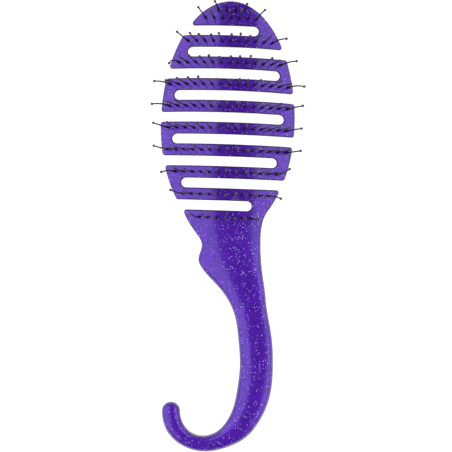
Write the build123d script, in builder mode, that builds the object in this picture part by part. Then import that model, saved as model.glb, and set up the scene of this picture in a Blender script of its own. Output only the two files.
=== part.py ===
from build123d import *
from math import asin, cos, degrees, sin, sqrt
import os

# Vented detangling brush, lying on its back.
# X runs across the head, +Y towards the head's tip, +Z out of the pin side.
# The origin is on the resting surface, under the middle of the brush's length and on the head's
# centre line. Sizes are in millimetres.

# ---- head, in plan ----
HEAD_WIDTH = 74.6  # across the widest bar
NECK_WIDTH = 46.6  # across the oval at the last slot
CROWN_SHARE = 0.577  # widest line's place along the head, from the tip
CAP_LENGTH = 14.0  # tip to the first slot
BAR_WIDTH = 6.8
BAR_COUNT = 8
SLOT_WIDTH = 5.3
WEB_WIDTHS = (9.1, 7.4, 6.4, 6.6, 6.4, 6.5, 7.2, 6.8, 10.7)  # slot's closed end to the rim
WEB_SHARE = 0.8  # part of the slot's width that flexes
MOUTH_RADIUS = 1.5  # free corners beside each slot

# ---- head, as an arched shell ----
SHELL = 3.2
ARCH_RADIUS = 66.0  # across the head, pin side
HEAD_BOW = 590.0  # along the head, pin side
CREST_Y = 15.0  # the brush's highest line
CREST_Z = 17.85

# ---- pins ----
PIN_PITCH = 4.65
PIN_MARGIN = 3.0  # least distance from a bar's end to a pin
PIN_RADIUS = 0.4
PIN_DEPTH = 2.0  # root inside the shell
LONG_PIN = 14.5  # shell to the top of the bead
SHORT_PIN = 12.3
BEAD_RADIUS = 0.8
CAP_ROW = 4.2  # cap's lower row, above the first slot
CAP_CROWN_ROW = 8.6  # cap's upper row, above the first slot
CAP_ROW_PINS = 7
CAP_CROWN_PINS = 4
NECK_ROW = 4.0  # neck's row, below the last slot
NECK_ROW_PINS = 7

# ---- handle ----
HANDLE_LENGTH = 133.9  # last slot to the hook's heel
HANDLE_THICKNESS = 9.5
HANDLE_BOW = 1225.0  # along the handle, pin side
FRONT_STEP = 0.5  # grip's front below the neck plate's crest
GRIP_HALF = 9.2  # half the grip's width
HEEL_HALF = 4.4  # half the hook's width at its heel
TIP_HALF = 5.1  # half the hook's width at its tip
NECK_PLATE = 26.0  # length of the neck's thin plate
PLATE_ONLY = 8.5  # stretch of it that has no thick handle behind it
FRONT_EDGE = 3.0  # rounding of the handle's long edges
BACK_EDGE = 2.0

# The neck's two edges: across the brush in millimetres, and down from the last slot as a share
# of the handle's length. The left edge has the thumb notch and the bump below it.
NECK_RIGHT = ((21.4, 0.031), (20.2, 0.082), (20.2, 0.145), (21.4, 0.240), (23.5, 0.330))
NECK_LEFT = (
    (-20.8, 0.040),
    (-14.8, 0.104),
    (-12.2, 0.142),
    (-12.9, 0.172),
    (-13.7, 0.208),
    (-11.9, 0.237),
    (-6.2, 0.285),
    (1.2, 0.346),
)
# The grip's centre line, placed as the neck's edges are, from thumb rest to hook.
GRIP_LINE = ((15.6, 0.404), (18.6, 0.515), (20.0, 0.634), (18.6, 0.762))
# The hook's centre line: across the brush, and up from the heel. The last number says how far
# the width has gone from the grip's (0) to the heel's (1).
HOOK_LINE = (
    (15.0, 20.7, 0.22),
    (10.2, 13.2, 0.43),
    (3.4, 7.8, 0.78),
    (-7.6, 4.4, 1.0),
    (-17.0, 6.6, 1.0),
    (-22.7, 11.4, 0.9),
)
HOOK_TIP = (-26.4, 22.2)  # centre of the hook's round end, up from the heel

SHELL_START = 0.09  # radians before the crest where the shell's sheet starts
SHELL_ARC = 0.32  # radians that it covers, past the head's tip
TALL = 60.0  # higher than the brush
WIDE = 200.0  # wider than the brush

# ---- places that follow from the sizes ----
SLOT_COUNT = BAR_COUNT + 1
SLOT_RADIUS = SLOT_WIDTH / 2
SLOT_PITCH = BAR_WIDTH + SLOT_WIDTH
HEAD_LENGTH = CAP_LENGTH + SLOT_COUNT * SLOT_WIDTH + BAR_COUNT * BAR_WIDTH
LENGTH = HEAD_LENGTH + HANDLE_LENGTH
TIP_Y = LENGTH / 2
HEEL_Y = -LENGTH / 2
NECK_Y = TIP_Y - HEAD_LENGTH
SLOTS = [TIP_Y - CAP_LENGTH - SLOT_RADIUS - SLOT_PITCH * i for i in range(SLOT_COUNT)]
WEB_SIDES = [1 if i % 2 == 0 else -1 for i in range(SLOT_COUNT)]  # webs start on the right
WEB_HALF = SLOT_RADIUS * WEB_SHARE
OVAL_HALF = HEAD_WIDTH / 2
CROWN_LENGTH = CROWN_SHARE * HEAD_LENGTH
WIDE_Y = TIP_Y - CROWN_LENGTH
BASE_LENGTH = (WIDE_Y - NECK_Y) / sqrt(1 - (NECK_WIDTH / HEAD_WIDTH) ** 2)


def oval_half(y):
    """Half the width of the head's oval at a place along it."""
    reach = CROWN_LENGTH if y > WIDE_Y else BASE_LENGTH
    return OVAL_HALF * sqrt(1 - ((y - WIDE_Y) / reach) ** 2)


# ---- the head in plan: an oval with slots from alternate sides ----
with BuildSketch() as head_plan:
    with BuildLine():
        EllipticalCenterArc((0, WIDE_Y), OVAL_HALF, CROWN_LENGTH, start_angle=0, arc_size=180)
        EllipticalCenterArc((0, WIDE_Y), OVAL_HALF, BASE_LENGTH, start_angle=180, arc_size=180)
    make_face()
    with Locations((0, NECK_Y - WIDE / 2)):
        Rectangle(WIDE, WIDE, mode=Mode.SUBTRACT)
    mouth_corners = []
    for slot_y, side, web_width in zip(SLOTS, WEB_SIDES, WEB_WIDTHS):
        closed_x = side * (oval_half(slot_y) - web_width - SLOT_RADIUS)
        with Locations((closed_x, slot_y)):
            Circle(SLOT_RADIUS, mode=Mode.SUBTRACT)
        with Locations((closed_x - side * WIDE / 2, slot_y)):
            Rectangle(WIDE, SLOT_WIDTH, mode=Mode.SUBTRACT)
        upper_y = slot_y + SLOT_RADIUS
        lower_y = slot_y - SLOT_RADIUS
        mouth_corners.append((-side * oval_half(upper_y), upper_y, 0))
        if slot_y != SLOTS[-1]:
            mouth_corners.append((-side * oval_half(lower_y), lower_y, 0))
    for corner in mouth_corners:
        fillet(head_plan.vertices().sort_by_distance(corner)[0], MOUTH_RADIUS)


# ---- the handle in plan ----
def down_handle(share):
    """A place along the handle, from the last slot (0) to the heel (1)."""
    return NECK_Y - share * HANDLE_LENGTH


def handle_stations():
    """Centre line of grip and hook, with half the width at each place."""
    stations = [(x, down_handle(share), GRIP_HALF) for x, share in GRIP_LINE]
    for x, rise, blend in HOOK_LINE:
        stations.append((x, HEEL_Y + rise, GRIP_HALF + (HEEL_HALF - GRIP_HALF) * blend))
    stations.append((HOOK_TIP[0], HEEL_Y + HOOK_TIP[1], TIP_HALF))
    return stations


def handle_edges():
    """The points of the handle's outer (right) and inner (left) edges, from neck to hook."""
    stations = handle_stations()
    centre_line = Spline(*[(x, y) for x, y, half in stations])
    outer = [(NECK_WIDTH / 2, NECK_Y)] + [(x, down_handle(share)) for x, share in NECK_RIGHT]
    inner = [(-NECK_WIDTH / 2, NECK_Y)] + [(x, down_handle(share)) for x, share in NECK_LEFT]
    for x, y, half in stations:
        along = centre_line.tangent_at(centre_line.param_at_point((x, y)))
        outer.append((x - along.Y * half, y + along.X * half))
        inner.append((x + along.Y * half, y - along.X * half))
    return outer, inner


OUTER_EDGE, INNER_EDGE = handle_edges()
with BuildSketch() as handle_plan:
    with BuildLine():
        outer_line = Spline(*OUTER_EDGE)
        inner_line = Spline(*INNER_EDGE)
        TangentArc(outer_line @ 1, inner_line @ 1, tangent=outer_line % 1)
        Line(inner_line @ 0, outer_line @ 0)
    make_face()
    fillet(handle_plan.vertices().sort_by_distance((-NECK_WIDTH / 2, NECK_Y, 0))[0], MOUTH_RADIUS)


# ---- the arched shell, as one sheet that the pieces are cut from ----
def arched_shell(bow):
    """An arch across the brush, swept along the bow of the head or of the handle."""
    start = Plane(
        origin=(0, CREST_Y, CREST_Z - bow),
        x_dir=(1, 0, 0),
        z_dir=(0, -cos(SHELL_START), -sin(SHELL_START)),
    )
    with BuildPart() as shell:
        with BuildSketch(start):
            with Locations((0, bow - ARCH_RADIUS)):
                Circle(ARCH_RADIUS)
                Circle(ARCH_RADIUS - SHELL, mode=Mode.SUBTRACT)
            with Locations((0, bow)):
                Rectangle(1.8 * ARCH_RADIUS, 1.1 * ARCH_RADIUS, mode=Mode.INTERSECT)
        revolve(axis=Axis(start.origin, (-1, 0, 0)), revolution_arc=degrees(SHELL_ARC))
    return shell.part


HEAD_SHELL = arched_shell(HEAD_BOW)
NECK_SHELL = arched_shell(HANDLE_BOW)


# ---- pins ----
def pin_plane(x, y, bow, height):
    """A plane square to a pin, at a height along it from the shell's pin side."""
    tilt = asin(x / ARCH_RADIUS)
    reach = bow - ARCH_RADIUS + ARCH_RADIUS * cos(tilt)
    lean = asin((y - CREST_Y) / reach)
    foot = Vector(x, y, CREST_Z - bow + reach * cos(lean))
    upright = Vector(sin(tilt), cos(tilt) * sin(lean), cos(tilt) * cos(lean))
    return Plane(origin=foot + upright * height, z_dir=upright)


def row(y, count, bow):
    """Every pin of a straight row: its place, the bow it stands on and whether it is long."""
    middle = (count - 1) / 2
    return [(PIN_PITCH * (i - middle), y, bow, i % 2 == 0) for i in range(count)]


def bar_row(y):
    """A bar's row, as many pins as its length takes, with a long pin at each end."""
    side_pins = int((oval_half(y) - PIN_MARGIN) / PIN_PITCH)
    return row(y, 2 * side_pins + 1, HEAD_BOW)


def planes_at(pins, long_height, short_height):
    """Planes square to the pins, at one height for long pins and another for short ones."""
    return [pin_plane(x, y, bow, long_height if long else short_height) for x, y, bow, long in pins]


def make_rods(pins, rod_top):
    """Round rods on a row's places, from the bottom of the pins' holes to a height above them."""
    with BuildPart() as rods:
        with BuildSketch(*planes_at(pins, -PIN_DEPTH, -PIN_DEPTH)):
            Circle(PIN_RADIUS)
        extrude(amount=PIN_DEPTH + rod_top)
    return rods


def make_pins(pins, length):
    """Pins that end in the middle of their beads."""
    return make_rods(pins, length - BEAD_RADIUS)


def make_beads(pins):
    """A round bead on each pin, with the pin's end in its middle."""
    centres = planes_at(pins, LONG_PIN - BEAD_RADIUS, SHORT_PIN - BEAD_RADIUS)
    with BuildPart() as group:
        with Locations(*centres):
            Sphere(BEAD_RADIUS)
        with BuildSketch(*centres):
            Circle(PIN_RADIUS)
        extrude(amount=-2 * BEAD_RADIUS, mode=Mode.SUBTRACT)
    return group


# ---- pieces of the frame ----
def head_slice(low, high, pins):
    """The stretch of the head between two places along it, with blind holes for its pins."""
    holes = make_rods(pins, PIN_DEPTH)
    with BuildPart() as piece:
        with BuildSketch():
            add(head_plan.sketch)
            with Locations((0, (low + high) / 2)):
                Rectangle(WIDE, high - low, mode=Mode.INTERSECT)
        extrude(amount=TALL, both=True)
        add(holes.part, mode=Mode.SUBTRACT)
        add(HEAD_SHELL, mode=Mode.INTERSECT)
    return piece


def make_web(slot_y):
    """The living hinge at the closed end of a slot."""
    with BuildPart() as web:
        with BuildSketch():
            add(head_plan.sketch)
            with Locations((0, slot_y)):
                Rectangle(WIDE, 2 * WEB_HALF, mode=Mode.INTERSECT)
        extrude(amount=TALL, both=True)
        add(HEAD_SHELL, mode=Mode.INTERSECT)
    return web


def make_neck():
    """The neck's thin plate."""
    with BuildPart() as neck:
        with BuildSketch():
            add(handle_plan.sketch)
            with Locations((0, NECK_Y - NECK_PLATE / 2)):
                Rectangle(WIDE, NECK_PLATE, mode=Mode.INTERSECT)
        extrude(amount=TALL, both=True)
        add(NECK_SHELL, mode=Mode.INTERSECT)
    return neck


def make_grip():
    """The thick stretch of the handle: thumb rest, grip and hook, on the handle's bow."""
    with BuildPart() as grip:
        with BuildSketch():
            add(handle_plan.sketch)
            with Locations((0, NECK_Y - PLATE_ONLY - WIDE / 2)):
                Rectangle(WIDE, WIDE, mode=Mode.INTERSECT)
        extrude(amount=TALL, both=True)
        with BuildSketch(Plane.YZ):
            with Locations((CREST_Y, CREST_Z - HANDLE_BOW)):
                Circle(HANDLE_BOW - FRONT_STEP)
                Circle(HANDLE_BOW - FRONT_STEP - HANDLE_THICKNESS, mode=Mode.SUBTRACT)
        extrude(amount=WIDE, both=True, mode=Mode.INTERSECT)
        front = grip.faces().sort_by(SortBy.AREA)[-2:].sort_by(Axis.Z)[1]
        fillet(front.edges(), FRONT_EDGE)
        back = grip.faces().sort_by(SortBy.AREA)[-2:].sort_by(Axis.Z)[0]
        fillet(back.edges(), BACK_EDGE)
    return grip


def make_neck_lip():
    """The strip of the neck beside the last slot's closed end, up to the web."""
    with BuildPart() as lip:
        with BuildSketch():
            add(head_plan.sketch)
            with Locations((0, SLOTS[-1] - WEB_HALF - WIDE / 2)):
                Rectangle(WIDE, WIDE, mode=Mode.INTERSECT)
        extrude(amount=TALL, both=True)
        add(NECK_SHELL, mode=Mode.INTERSECT)
    return lip


def make_handle(pins):
    """Neck, thumb rest, grip and hook, in one piece, with blind holes for the neck's pins."""
    neck = make_neck()
    grip = make_grip()
    lip = make_neck_lip()
    holes = make_rods(pins, PIN_DEPTH)
    with BuildPart() as handle:
        add(grip.part)
        add(neck.part)
        add(lip.part)
        add(holes.part, mode=Mode.SUBTRACT)
    return handle


def save(piece, name):
    """Label a finished piece and write it to its own file."""
    piece.part.label = name
    export_step(piece.part, f"parts/{name}.step")


os.makedirs("parts", exist_ok=True)

# Rows of pins, by the piece that they stand on.
cap_low = SLOTS[0] + SLOT_RADIUS
ROWS = {"cap": row(cap_low + CAP_ROW, CAP_ROW_PINS, HEAD_BOW)}
ROWS["cap"] += row(cap_low + CAP_CROWN_ROW, CAP_CROWN_PINS, HEAD_BOW)
for number in range(1, BAR_COUNT + 1):
    ROWS[str(number)] = bar_row((SLOTS[number - 1] + SLOTS[number]) / 2)
ROWS["neck"] = row(NECK_Y - NECK_ROW, NECK_ROW_PINS, HANDLE_BOW)

save(head_slice(SLOTS[0] + WEB_HALF, TIP_Y + 1, ROWS["cap"]), "cap")
for number in range(1, BAR_COUNT + 1):
    bar = head_slice(SLOTS[number] + WEB_HALF, SLOTS[number - 1] - WEB_HALF, ROWS[str(number)])
    save(bar, f"bar_{number}")
for number, slot_y in enumerate(SLOTS, start=1):
    save(make_web(slot_y), f"web_{number}")
save(make_handle(ROWS["neck"]), "handle")
for place, pins in ROWS.items():
    save(make_pins([pin for pin in pins if pin[3]], LONG_PIN), f"long_pins_{place}")
    save(make_pins([pin for pin in pins if not pin[3]], SHORT_PIN), f"short_pins_{place}")
    save(make_beads(pins), f"beads_{place}")
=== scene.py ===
"""Vented detangling brush: the looks of its moulded frame, pins and beads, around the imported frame.

The brush lies on its back. X runs across the head, +Y towards the head's tip and +Z out of the
pin side. Sizes in this file are in millimetres until a mesh is made, which is in metres.
"""

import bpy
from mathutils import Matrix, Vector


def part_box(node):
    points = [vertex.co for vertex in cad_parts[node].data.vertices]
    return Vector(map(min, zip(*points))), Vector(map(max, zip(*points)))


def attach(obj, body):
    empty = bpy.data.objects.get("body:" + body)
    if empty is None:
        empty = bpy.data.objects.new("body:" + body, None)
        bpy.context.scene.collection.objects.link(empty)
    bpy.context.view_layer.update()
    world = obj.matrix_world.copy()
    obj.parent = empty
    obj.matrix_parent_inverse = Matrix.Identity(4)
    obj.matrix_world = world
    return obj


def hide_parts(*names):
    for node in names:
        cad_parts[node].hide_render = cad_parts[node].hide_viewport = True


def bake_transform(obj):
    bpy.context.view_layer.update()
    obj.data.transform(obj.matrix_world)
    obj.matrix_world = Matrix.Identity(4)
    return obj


bl_info = {
    "name": "Vented Detangling Brush",
    "version": (1, 0, 0),
    "blender": (4, 5, 0),
    "location": "View3D > Sidebar > Brush",
    "description": "Builds a vented hair brush: moulded frame, nylon pins, dipped beads and a studio",
    "category": "Object",
}

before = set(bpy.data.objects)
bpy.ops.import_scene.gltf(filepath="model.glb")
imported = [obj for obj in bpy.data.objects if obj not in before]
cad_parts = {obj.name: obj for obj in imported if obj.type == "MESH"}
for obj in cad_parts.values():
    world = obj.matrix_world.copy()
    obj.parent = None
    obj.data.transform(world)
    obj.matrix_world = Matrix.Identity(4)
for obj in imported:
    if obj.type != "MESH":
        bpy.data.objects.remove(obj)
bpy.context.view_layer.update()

import math

import bpy
import numpy as np
from bpy.props import FloatProperty, FloatVectorProperty, IntProperty, PointerProperty
from mathutils import Matrix, Vector
from mathutils.geometry import delaunay_2d_cdt
from mathutils.kdtree import KDTree

MM = 0.001

# ---- head, in plan ----
HEAD_WIDTH = 74.6
NECK_WIDTH = 46.6
CROWN_SHARE = 0.577  # widest line's place along the head, from the tip
SLOT_RADIUS = 2.65
MOUTH_RADIUS = 1.5  # free corners beside each slot
BAR_COUNT = 8
SLOT_COUNT = BAR_COUNT + 1

# ---- arches ----
SHELL = 3.2
ARCH_RADIUS = 66.0
HEAD_BOW = 590.0
HANDLE_BOW = 1225.0
CREST_Y = 15.0
CREST_Z = 17.85
HANDLE_DEPTH = 10.0  # pin side to back, on the handle's centre line
BACK_FLATTER = 1.25  # back's crown radius over the front's
HEAD_SLOPE = 0.7  # steepest tilt across the head, in radians
HANDLE_SLOPE = 0.34  # steepest tilt across the handle

# ---- pins ----
PIN_PITCH = 4.65
PIN_MARGIN = 3.0
PIN_DEPTH = 1.2  # root inside the shell
LONG_PIN = 14.5
SHORT_PIN = 12.3
CAP_ROW = 4.2
CAP_CROWN_ROW = 8.6
CAP_ROW_PINS = 7
CAP_CROWN_PINS = 4
NECK_ROW = 4.0
NECK_ROW_PINS = 7

# ---- handle's outline: across in millimetres, down from the last slot as a share of its length ----
GRIP_HALF = 9.2
HEEL_HALF = 4.4
TIP_HALF = 5.1
NECK_RIGHT = ((21.4, 0.031), (20.2, 0.082), (20.2, 0.145), (21.4, 0.240), (23.5, 0.330))
NECK_LEFT = (
    (-20.8, 0.040),
    (-14.8, 0.104),
    (-12.2, 0.142),
    (-12.9, 0.172),
    (-13.7, 0.208),
    (-11.9, 0.237),
    (-6.2, 0.285),
    (1.2, 0.346),
)
GRIP_LINE = ((15.6, 0.404), (18.6, 0.515), (20.0, 0.634), (18.6, 0.762))
# Hook's centre line: across, up from the heel, and how far the width has gone to the heel's.
HOOK_LINE = (
    (15.0, 20.7, 0.22),
    (10.2, 13.2, 0.43),
    (3.4, 7.8, 0.78),
    (-7.6, 4.4, 1.0),
    (-17.0, 6.6, 1.0),
    (-22.7, 11.4, 0.9),
)
HOOK_TIP = (-26.4, 22.2)
# Ridge of the neck's crown: across, down as a share of the handle, and the crown's radius there.
NECK_RIDGE = ((0.0, -0.35, 66.0), (0.0, -0.04, 66.0), (2.5, 0.14, 53.0), (7.6, 0.25, 40.0))
GRIP_CROWN = (29.0, 26.0, 25.0, 23.0)
HOOK_CROWN = (19.0, 16.0, 13.0, 12.0, 12.0, 12.0)
TIP_CROWN = 12.0


# ---- the frame's own places ----
def slot_places():
    """Each slot's place along the head, the side its web is on (+1 right) and its closed end's centre."""
    places = []
    for number in range(1, SLOT_COUNT + 1):
        low, high = (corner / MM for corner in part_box(f"web_{number}"))
        half = (high.y - low.y) / 2
        side = 1 if low.x + high.x > 0 else -1
        inner = low.x if side > 0 else high.x
        closed = inner - side * math.sqrt(SLOT_RADIUS**2 - half**2)
        places.append(((low.y + high.y) / 2, side, closed))
    return places


SLOTS = slot_places()
WEB_HALF = (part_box("web_1")[1].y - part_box("web_1")[0].y) / 2 / MM
TIP_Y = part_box("cap")[1].y / MM
HEEL_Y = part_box("handle")[0].y / MM
NECK_Y = SLOTS[-1][0] - SLOT_RADIUS
HEAD_LENGTH = TIP_Y - NECK_Y
HANDLE_LENGTH = NECK_Y - HEEL_Y
CROWN_LENGTH = CROWN_SHARE * HEAD_LENGTH
WIDE_Y = TIP_Y - CROWN_LENGTH
BASE_LENGTH = (WIDE_Y - NECK_Y) / math.sqrt(1 - (NECK_WIDTH / HEAD_WIDTH) ** 2)
BODIES = ["cap"] + [f"bar_{number}" for number in range(1, BAR_COUNT + 1)] + ["handle"]


# ---- curves ----
def smooth(value):
    """Smooth step from 0 to 1."""
    value = np.clip(value, 0, 1)
    return value * value * (3 - 2 * value)


def slopes_through(points):
    """Chord lengths and slopes of the smooth cubic curve through some points."""
    points = np.asarray(points, float)
    chord = np.linalg.norm(np.diff(points, axis=0), axis=1)
    secant = np.diff(points, axis=0) / chord[:, None]
    count = len(points)
    system = np.eye(count)
    right = np.zeros_like(points)
    for i in range(1, count - 1):
        system[i, i - 1 : i + 2] = chord[i], 2 * (chord[i - 1] + chord[i]), chord[i - 1]
        right[i] = 3 * (chord[i] * secant[i - 1] + chord[i - 1] * secant[i])
    for end, near, far in ((0, 0, 1), (-1, -1, -2)):
        reach = chord[near] + chord[far]
        right[end] = ((chord[near] + reach) * secant[near] - chord[near] * secant[far]) / reach
    return points, chord, np.linalg.solve(system, right)


def curve_through(points, step):
    """Points about a step apart along the smooth curve through some points, and each one's parameter."""
    points, chord, slopes = slopes_through(points)
    out, at = [], []
    for i, length in enumerate(chord):
        count = max(2, int(length / step) + 1)
        for t in np.arange(count) / count:
            a, b = points[i], points[i + 1]
            rise = t * t * (3 - 2 * t)
            out.append(
                a + (b - a) * rise
                + slopes[i] * length * t * (1 - t) ** 2
                - slopes[i + 1] * length * t * t * (1 - t)
            )
            at.append(i + t)
    return np.array(out + [points[-1]]), np.array(at + [len(chord)])


def evenly(loop, step):
    """A closed line with its points moved to even distances along it."""
    closed = np.vstack([loop, loop[:1]])
    along = np.concatenate([[0], np.cumsum(np.linalg.norm(np.diff(closed, axis=0), axis=1))])
    places = np.linspace(0, along[-1], int(along[-1] / step) + 1)[:-1]
    return np.stack([np.interp(places, along, closed[:, axis]) for axis in (0, 1)], 1)


# ---- the frame's outline ----
def oval_half(y):
    """Half the width of the head's oval at a place along it."""
    reach = CROWN_LENGTH if y > WIDE_Y else BASE_LENGTH
    return HEAD_WIDTH / 2 * math.sqrt(max(0, 1 - ((y - WIDE_Y) / reach) ** 2))


def rim(side, high, low, step=0.3):
    """The oval's rim on one side, from one place along the head down to another."""

    def angle(y):
        reach = CROWN_LENGTH if y > WIDE_Y else BASE_LENGTH
        return math.asin(max(-1, min(1, (y - WIDE_Y) / reach)))

    count = max(3, int((high - low) / step))
    points = []
    for turn in np.linspace(angle(high), angle(low), count):
        reach = CROWN_LENGTH if turn > 0 else BASE_LENGTH
        points.append((side * HEAD_WIDTH / 2 * math.cos(turn), WIDE_Y + reach * math.sin(turn)))
    return points


def slot_run(side, y, closed):
    """In along a slot's upper edge from one side, round its closed end and out along its lower edge."""
    start = (side * oval_half(y + SLOT_RADIUS), y + SLOT_RADIUS)
    end = (side * oval_half(y - SLOT_RADIUS), y - SLOT_RADIUS)
    turns = np.linspace(0, math.pi, 19)
    arc = [(closed - side * SLOT_RADIUS * math.sin(t), y + SLOT_RADIUS * math.cos(t)) for t in turns]
    return [start] + arc + [end]


def side_runs(side):
    """The head's outline on one side, from the tip down, as runs that meet at the free corners."""
    runs = []
    top = TIP_Y
    for y, web_side, closed in SLOTS:
        if web_side != side:
            runs.append(rim(side, top, y + SLOT_RADIUS))
            runs.append(slot_run(side, y, closed))
            top = y - SLOT_RADIUS
    if top > NECK_Y + SLOT_RADIUS:
        runs.append(rim(side, top, NECK_Y))
    return runs


def trim(run, length):
    """A run with its end cut back."""
    run = np.array(run, float)
    while np.linalg.norm(run[-1] - run[-2]) < length:
        length -= np.linalg.norm(run[-1] - run[-2])
        run = run[:-1]
    last = run[-1] - run[-2]
    run[-1] -= last / np.linalg.norm(last) * length
    return run


def join_rounded(runs, radius):
    """Runs joined end to end, each corner between two of them rounded."""
    line = np.array(runs[0], float)
    for run in runs[1:]:
        run = np.array(run, float)
        corner = run[0]
        before = corner - line[-2]
        after = run[1] - corner
        before /= np.linalg.norm(before)
        after /= np.linalg.norm(after)
        half_angle = math.acos(max(-1, min(1, -before @ after))) / 2
        cut = radius / math.tan(half_angle)
        weight = math.sin(half_angle)
        line = trim(line, cut)
        run = trim(run[::-1], cut)[::-1]
        arc = []
        for t in np.linspace(0, 1, 9)[1:-1]:
            parts = (1 - t) ** 2, 2 * t * (1 - t) * weight, t * t
            arc.append((parts[0] * line[-1] + parts[1] * corner + parts[2] * run[0]) / sum(parts))
        line = np.vstack([line, arc, run])
    return line


def down_handle(share):
    """A place along the handle, from the last slot (0) to the heel (1)."""
    return NECK_Y - share * HANDLE_LENGTH


def handle_stations():
    """Centre line of grip and hook, with half the width at each place."""
    stations = [(x, down_handle(share), GRIP_HALF) for x, share in GRIP_LINE]
    for x, rise, blend in HOOK_LINE:
        stations.append((x, HEEL_Y + rise, GRIP_HALF + (HEEL_HALF - GRIP_HALF) * blend))
    stations.append((HOOK_TIP[0], HEEL_Y + HOOK_TIP[1], TIP_HALF))
    return stations


def handle_edges():
    """The handle's outer (right) and inner (left) edges, from the neck to the hook's round end."""
    stations = handle_stations()
    outer = [(NECK_WIDTH / 2, NECK_Y)] + [(x, down_handle(share)) for x, share in NECK_RIGHT]
    inner = [(-NECK_WIDTH / 2, NECK_Y)] + [(x, down_handle(share)) for x, share in NECK_LEFT]
    slopes = slopes_through([station[:2] for station in stations])[2]
    for (x, y, half), slope in zip(stations, slopes):
        along = slope / np.linalg.norm(slope)
        outer.append((x - along[1] * half, y + along[0] * half))
        inner.append((x + along[1] * half, y - along[0] * half))
    return curve_through(outer, 0.4)[0], curve_through(inner, 0.4)[0]


def hook_end(outer, inner):
    """The hook's round end, from the outer edge's last point to the inner edge's."""
    centre = (outer[-1] + inner[-1]) / 2
    arm = outer[-1] - centre
    turns = np.linspace(0, -math.pi, 25)[1:-1]
    return [
        centre + (arm[0] * math.cos(t) - arm[1] * math.sin(t), arm[0] * math.sin(t) + arm[1] * math.cos(t))
        for t in turns
    ]


def frame_outline(step):
    """The whole frame's outline in plan, anticlockwise from the head's tip, evenly spaced."""
    outer, inner = handle_edges()
    right_runs = side_runs(1)
    right_runs[-1] = list(right_runs[-1])[:-1] + list(outer)
    left_runs = side_runs(-1) + [inner]
    right = join_rounded(right_runs, MOUTH_RADIUS)
    left = join_rounded(left_runs, MOUTH_RADIUS)
    clockwise = np.vstack([right, hook_end(outer, inner), left[::-1][:-1]])
    return evenly(clockwise[::-1], step)


# ---- the frame's two surfaces ----
class Nearest:
    """Distances from places in plan to a line."""

    def __init__(self, line, closed):
        self.line = line
        self.closed = closed
        self.tree = KDTree(len(line))
        for i, (x, y) in enumerate(line):
            self.tree.insert((x, y, 0), i)
        self.tree.balance()

    def segment(self, place, i, j):
        a, b = self.line[i], self.line[j]
        run = b - a
        share = max(0.0, min(1.0, (place - a) @ run / (run @ run)))
        return np.linalg.norm(place - a - share * run), i + share * (j - i)

    def distance(self, place):
        """The distance to the line, and the place on it as a point number with its fraction."""
        i = self.tree.find((place[0], place[1], 0))[1]
        count = len(self.line)
        pairs = [(i, i + 1), (i, i - 1)]
        if self.closed:
            pairs = [(i, (i + 1) % count), (i, i - 1)]
        found = [self.segment(place, a, b) for a, b in pairs if -1 <= b < count and (self.closed or b >= 0)]
        return min(found)


def ridge_line():
    """The crown's ridge down the whole frame, with the crown's radius at each of its points."""
    knots = [(x, down_handle(share), radius) for x, share, radius in NECK_RIDGE]
    knots.insert(0, (0.0, TIP_Y + 5, ARCH_RADIUS))
    crowns = GRIP_CROWN + HOOK_CROWN + (TIP_CROWN,)
    knots += [(x, y, crown) for (x, y, half), crown in zip(handle_stations(), crowns)]
    line, at = curve_through([knot[:2] for knot in knots], 1.0)
    radii = np.interp(at, range(len(knots)), [knot[2] for knot in knots])
    return line, radii


def edge_round(y, head_edge, handle_edge):
    """How far in from the outline the rounded edge reaches."""
    return head_edge + (handle_edge - head_edge) * smooth((NECK_Y + 1 - y) / 30)


def crown_drop(offset, radius, slope):
    """How far a crown has fallen at an offset from its ridge: a circle, then a straight fall."""
    reach = np.minimum(offset, radius * np.sin(slope))
    return radius - np.sqrt(radius**2 - reach**2) + (offset - reach) * np.tan(slope)


def surfaces(places):
    """Heights of the pin side and of the back at places in plan, before the edges are rounded."""
    line, radii = ridge_line()
    nearest = Nearest(line, False)
    found = [nearest.distance(place) for place in places]
    offset = np.array([distance for distance, at in found])
    radius = np.interp([at for distance, at in found], range(len(radii)), radii)
    y = places[:, 1]
    to_handle = smooth((NECK_Y + 2 - y) / 25)
    slope = HEAD_SLOPE + (HANDLE_SLOPE - HEAD_SLOPE) * to_handle
    bow = np.where(y > CREST_Y, HEAD_BOW, HANDLE_BOW)
    drop = crown_drop(offset, radius, slope)
    top = CREST_Z - bow + np.sqrt((bow - drop) ** 2 - (y - CREST_Y) ** 2)
    tilt = np.minimum(np.arcsin(np.clip(offset / radius, 0, 0.99)), slope)
    shell_back = top - SHELL / np.cos(tilt)
    ridge = CREST_Z - bow + np.sqrt(bow**2 - (y - CREST_Y) ** 2)
    solid_back = ridge - HANDLE_DEPTH + crown_drop(offset, radius * BACK_FLATTER, slope * 0.8)
    solid_back = np.minimum(solid_back, top - SHELL)
    to_solid = smooth((NECK_Y - 5 - y) / 15)
    back = shell_back + (solid_back - shell_back) * to_solid
    return top, back


# ---- the frame as one sheet of triangles ----
def inside(places, loop):
    """Which places are inside a closed line."""
    x, y = places[:, 0], places[:, 1]
    crossed = np.zeros(len(places), bool)
    for (ax, ay), (bx, by) in zip(loop, np.roll(loop, -1, 0)):
        if ay != by:
            spans = (ay > y) != (by > y)
            crossed ^= spans & (x < (bx - ax) * (y - ay) / (by - ay) + ax)
    return crossed


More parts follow.
